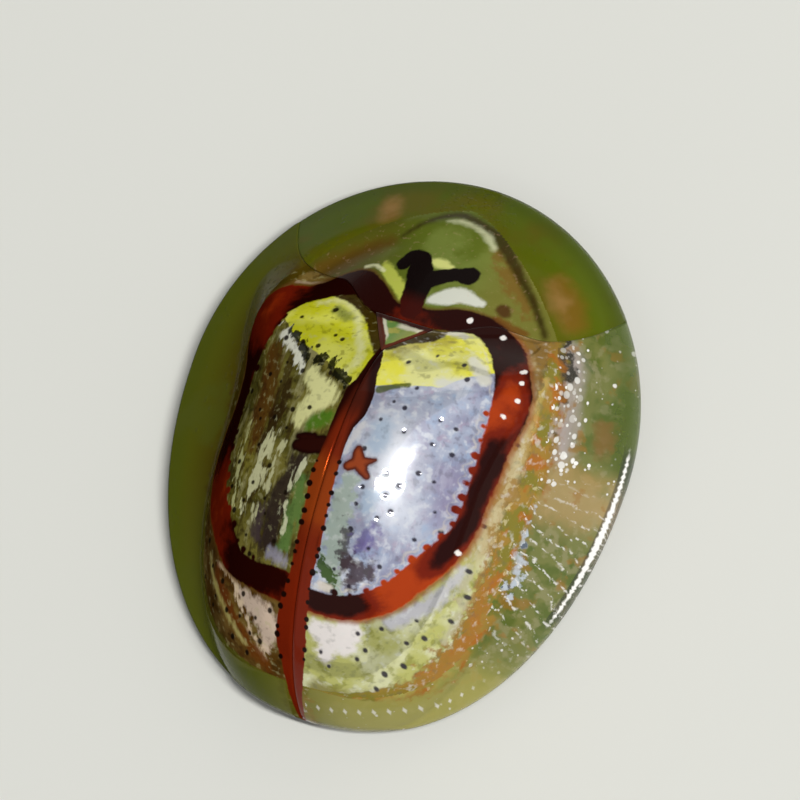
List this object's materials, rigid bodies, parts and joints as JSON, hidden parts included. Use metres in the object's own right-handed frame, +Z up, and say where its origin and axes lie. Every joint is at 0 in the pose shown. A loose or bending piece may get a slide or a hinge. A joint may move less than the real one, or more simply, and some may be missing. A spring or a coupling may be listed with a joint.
{
  "type": "tortoise beetle",
  "caption": "Still, life-size tortoise beetle with a domed gold shell, clear brim and drawn-in legs, for display.",
  "frame": {"origin": "on the floor under the middle of the shell, at the soles' level", "axes": "the head faces -Y and the hind point of the shell is at +Y, +X is the beetle's left side, +Z is up"},
  "size_m": [0.006, 0.007, 0.0026],
  "materials": {
    "wing_case": "gold and silver shell with a clear, netted brim, glossy",
    "pronotum": "olive green shell with a pale hood, glossy",
    "scutellum": "pale green-gold shell, glossy",
    "body": "dark brown body wall, satin",
    "head": "olive yellow, finely pitted, satin",
    "eye": "black, finely faceted, glossy",
    "limb": "straw yellow to brown, satin",
    "mouth": "dark red brown, satin"
  },
  "bodies": {
    "root": {"pronotum": "pronotum", "scutellum": "scutellum", "elytron_right": "wing_case", "elytron_left": "wing_case", "head": "head", "eye_right": "eye", "eye_left": "eye", "antenna_right": "limb", "antenna_left": "limb", "mouthparts": "mouth", "prothorax": "body", "thorax": "body", "abdomen": "body", "leg_front_right": "limb", "leg_front_left": "limb", "leg_middle_right": "limb", "leg_middle_left": "limb", "leg_hind_right": "limb", "leg_hind_left": "limb"}
  },
  "joints": []
}
